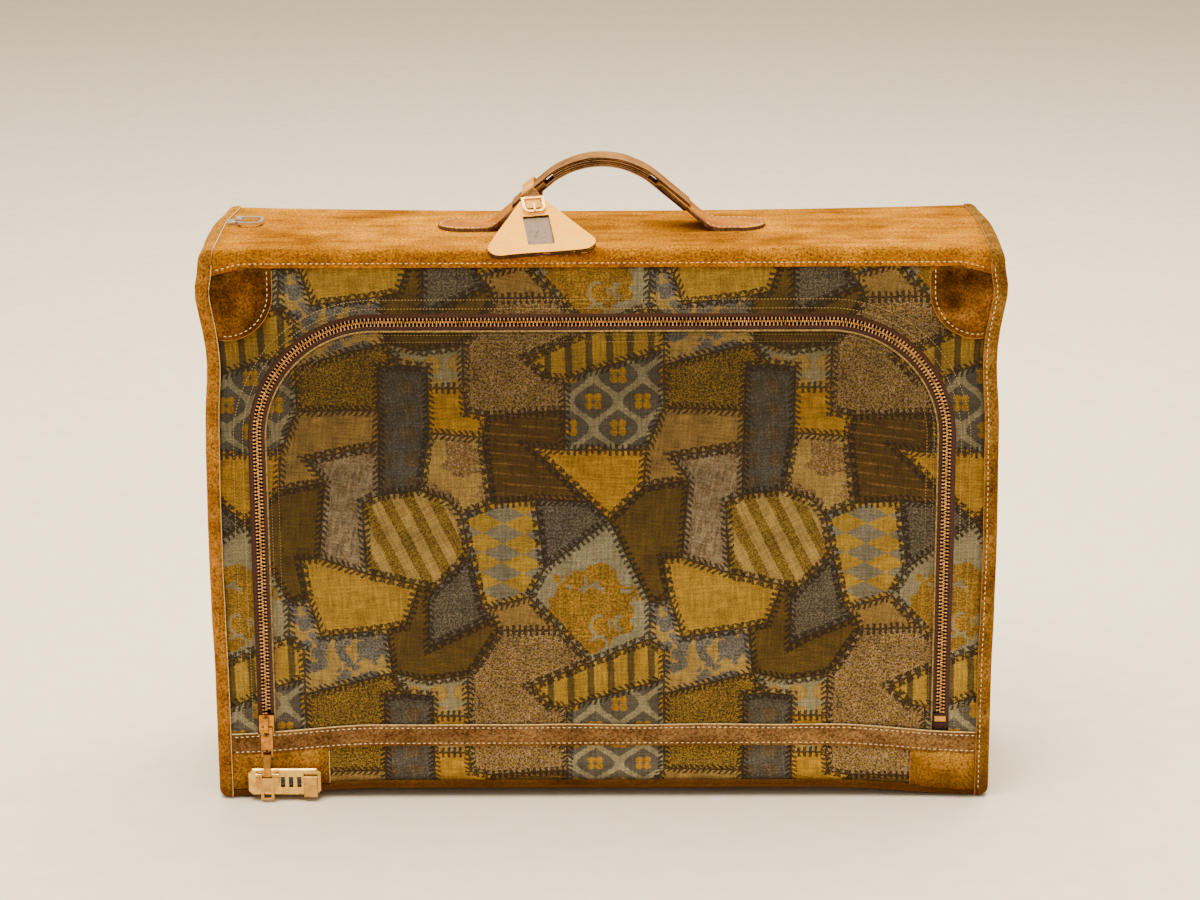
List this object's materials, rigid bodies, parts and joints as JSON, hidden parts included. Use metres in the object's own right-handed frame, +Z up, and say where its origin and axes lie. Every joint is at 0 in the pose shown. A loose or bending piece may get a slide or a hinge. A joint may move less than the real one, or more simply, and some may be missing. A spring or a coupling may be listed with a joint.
{
  "type": "patchwork tapestry suitcase",
  "caption": "Soft-sided suitcase in patchwork tapestry with suede trim: arched zip flap, stacked leather strap handle, combination lock, strap ring and leather luggage tag.",
  "frame": {"origin": "middle of the base, on the surface it stands on", "axes": "+Z up, the zipped front faces -Y, +X to the right seen from the front"},
  "size_m": [0.66, 0.1892, 0.545],
  "materials": {
    "suede": "napped suede",
    "tapestry": "woven patchwork tapestry",
    "frame_board": "raw fibreboard",
    "lining_cloth": "plain woven lining",
    "zip_tape": "woven tape",
    "zip_metal": "aged brass",
    "lock_brass": "satin brass",
    "wheel_plastic": "satin",
    "handle_leather": "waxed edge-finished leather",
    "tag_leather": "smooth vegetable-tanned leather",
    "tag_clear": "clear film",
    "tag_paper": "matt card",
    "nickel": "bright nickel"
  },
  "bodies": {
    "case": {"left_side": "suede", "right_side": "suede", "top_cover": "suede", "base_cover": "suede", "hinge_strip": "suede", "top_left_patch": "suede", "top_right_patch": "suede", "lock_patch": "suede", "base_right_patch": "suede", "back_top_left_patch": "suede", "back_top_right_patch": "suede", "back_base_left_patch": "suede", "back_base_right_patch": "suede", "front_surround": "tapestry", "front_foot": "tapestry", "back_panel": "tapestry", "top_board": "frame_board", "base_board": "frame_board", "left_board": "frame_board", "right_board": "frame_board", "back_board": "frame_board", "lining": "lining_cloth", "frame_tape": "zip_tape", "frame_teeth": "zip_metal", "zip_stop": "zip_metal", "lock_case": "lock_brass", "hasp_pins": "lock_brass", "wheel_axle": "lock_brass", "handle_strap": "handle_leather", "handle_filler": "handle_leather", "left_handle_tab": "handle_leather", "right_handle_tab": "handle_leather", "ring_clip": "nickel", "ring_rivet": "nickel"},
    "flap": {"flap_cover": "tapestry", "flap_board": "frame_board", "flap_lining": "lining_cloth", "flap_tape": "zip_tape", "flap_teeth": "zip_metal"},
    "slider": {"zip_slider": "zip_metal"},
    "pull": {"zip_pull": "zip_metal", "pull_link": "zip_metal"},
    "wheel_1": {"number_wheel_1": "wheel_plastic"},
    "wheel_2": {"number_wheel_2": "wheel_plastic"},
    "wheel_3": {"number_wheel_3": "wheel_plastic"},
    "button": {"release_button": "lock_brass"},
    "hasp": {"lock_hasp": "lock_brass"},
    "ring": {"strap_ring": "nickel"},
    "tag": {"tag_back": "tag_leather", "tag_card": "tag_paper", "tag_window": "tag_clear", "tag_front": "tag_leather", "tag_strap": "tag_leather", "tag_buckle": "lock_brass", "tag_prong": "lock_brass"}
  },
  "joints": [
    {"name": "flap_hinge", "type": "hinge", "parent": "case", "child": "flap", "pos_m": [0, -0.087, 0.0575], "axis": [1, 0, 0], "range_deg": [0, 95], "deforming": ["hinge_strip"]},
    {"name": "zip_slide", "type": "slide", "parent": "case", "child": "slider", "axis": [0, 0, 1], "range_m": [0, 0.24]},
    {"name": "pull_swing", "type": "hinge", "parent": "slider", "child": "pull", "pos_m": [-0.288, -0.0899, 0.0645], "axis": [-1, 0, 0], "range_deg": [0, 150]},
    {"name": "wheel_1_spin", "type": "hinge", "parent": "case", "child": "wheel_1", "pos_m": [-0.2749, -0.091, 0.0175], "axis": [1, 0, 0], "continuous": true},
    {"name": "wheel_2_spin", "type": "hinge", "parent": "case", "child": "wheel_2", "pos_m": [-0.2679, -0.091, 0.0175], "axis": [1, 0, 0], "continuous": true},
    {"name": "wheel_3_spin", "type": "hinge", "parent": "case", "child": "wheel_3", "pos_m": [-0.2609, -0.091, 0.0175], "axis": [1, 0, 0], "continuous": true},
    {"name": "button_slide", "type": "slide", "parent": "case", "child": "button", "axis": [0, 0, 1], "range_m": [0, 0.003], "stiffness_N_per_m": 250},
    {"name": "hasp_swing", "type": "hinge", "parent": "case", "child": "hasp", "pos_m": [-0.288, -0.097, 0.0245], "axis": [-1, 0, 0], "range_deg": [0, 100]},
    {"name": "ring_flip", "type": "hinge", "parent": "case", "child": "ring", "pos_m": [-0.308, 0.012, 0.48595], "axis": [0, -1, 0], "range_deg": [0, 150]},
    {"name": "tag_swing", "type": "hinge", "parent": "case", "child": "tag", "pos_m": [-0.058, -0.02155, 0.51024], "axis": [-0.9903, -0.129, -0.0521], "range_deg": [0, 60], "deforming": ["tag_strap"]}
  ]
}
